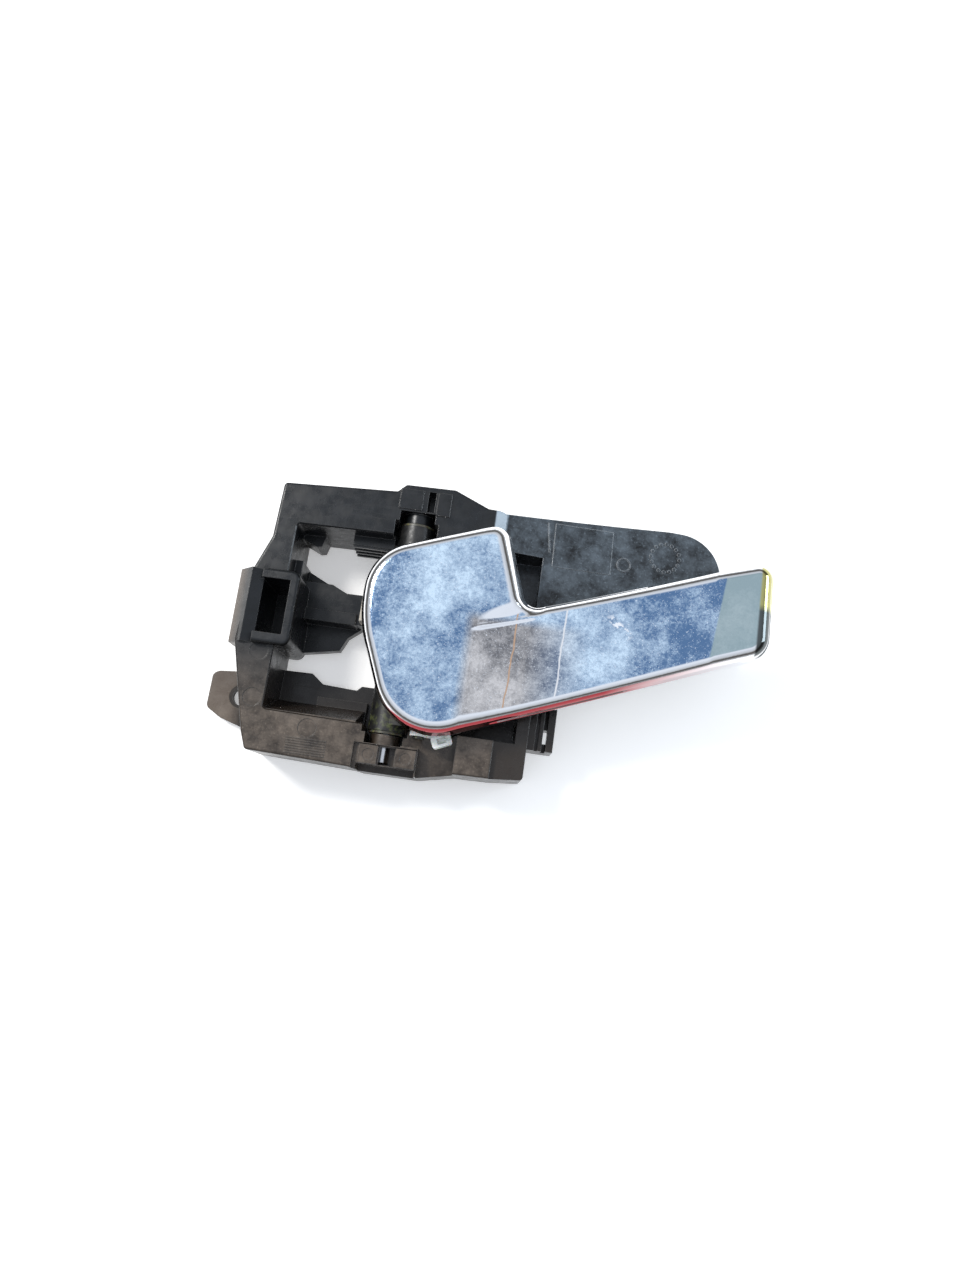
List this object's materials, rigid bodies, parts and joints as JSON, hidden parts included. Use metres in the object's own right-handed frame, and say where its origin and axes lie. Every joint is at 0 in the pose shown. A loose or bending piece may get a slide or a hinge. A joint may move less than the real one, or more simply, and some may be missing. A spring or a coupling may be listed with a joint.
{
  "type": "car door interior release handle",
  "caption": "Interior car door release handle: a chromed L-shaped lever hinged on a pin in a black moulded frame with a finger plate, a screw socket and a fixing ear.",
  "frame": {"origin": "centre of the fixing ear's hole, on the rear face that lies against the door", "axes": "+Z out of the door toward the cabin, +X toward the free end of the lever, +Y along the pivot pin toward the upper rail"},
  "size_m": [0.1682, 0.0899, 0.0437],
  "materials": {
    "housing_plastic": "satin",
    "carrier_nylon": "matte",
    "chrome_plating": "polished",
    "pin_steel": "polished",
    "plated_steel": "satin",
    "black_steel": "satin",
    "spring_steel": "satin",
    "bush_nylon": "satin",
    "clip_nylon": "satin",
    "stop_rubber": "matte",
    "pad_rubber": "matte"
  },
  "bodies": {
    "base": {"base_housing": "housing_plastic", "fixing_sleeve": "black_steel", "pivot_pin": "pin_steel", "rest_buffer": "stop_rubber", "open_stop_pad": "pad_rubber", "return_spring": "spring_steel"},
    "lever": {"lever_shell": "chrome_plating", "lever_carrier": "carrier_nylon", "lever_screws": "plated_steel", "upper_bush": "bush_nylon", "lower_bush": "bush_nylon"},
    "clip": {"cable_end_clip": "clip_nylon"}
  },
  "joints": [
    {"name": "lever_hinge", "type": "hinge", "parent": "base", "child": "lever", "pos_m": [0.0495, 0.026, 0.018], "axis": [0, -1, 0], "range_deg": [0, 40], "stiffness_Nm_per_rad": 0.12, "springref_deg": -57.3, "deforming": ["return_spring"]},
    {"name": "clip_swivel", "type": "hinge", "parent": "lever", "child": "clip", "pos_m": [0.06, -0.0055, 0.025], "axis": [0, -1, 0], "range_deg": [-41, 1]}
  ],
  "couplings": [
    {"joint": "clip_swivel", "follows": "lever_hinge", "ratio": -1}
  ]
}
